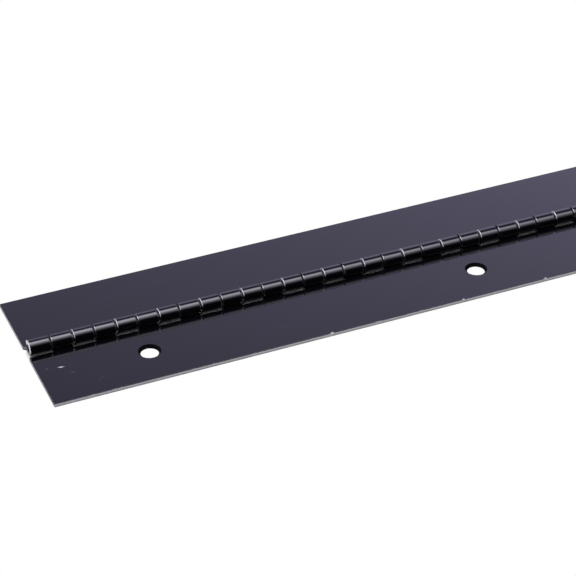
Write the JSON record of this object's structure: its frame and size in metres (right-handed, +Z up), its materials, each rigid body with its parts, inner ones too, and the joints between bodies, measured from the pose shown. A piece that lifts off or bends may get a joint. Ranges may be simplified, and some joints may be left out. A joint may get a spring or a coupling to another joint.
{
  "type": "piano hinge",
  "caption": "Continuous hinge with two flat sheet leaves, interleaved rolled knuckles and one long pin; one leaf has plain round screw holes.",
  "frame": {"origin": "mid length, straight below the pin, on the plane of the leaves' undersides with the hinge open flat", "axes": "+X along the pin, with the drilled leaf on -Y and the plain leaf on +Y; +Z up, out of the side that the barrel stands on"},
  "size_m": [0.2666, 0.0508, 0.0047],
  "materials": {
    "black_paint": "glossy bluish-black paint on sheet steel",
    "pin_steel": "drawn steel wire, dull grey"
  },
  "bodies": {
    "drilled_side": {"drilled_leaf": "black_paint", "hinge_pin": "pin_steel"},
    "plain_side": {"plain_leaf": "black_paint"}
  },
  "joints": [
    {"name": "leaf_swing", "type": "hinge", "parent": "drilled_side", "child": "plain_side", "pos_m": [0, 0, 0.00234], "axis": [1, 0, 0], "range_deg": [-90, 180]}
  ]
}
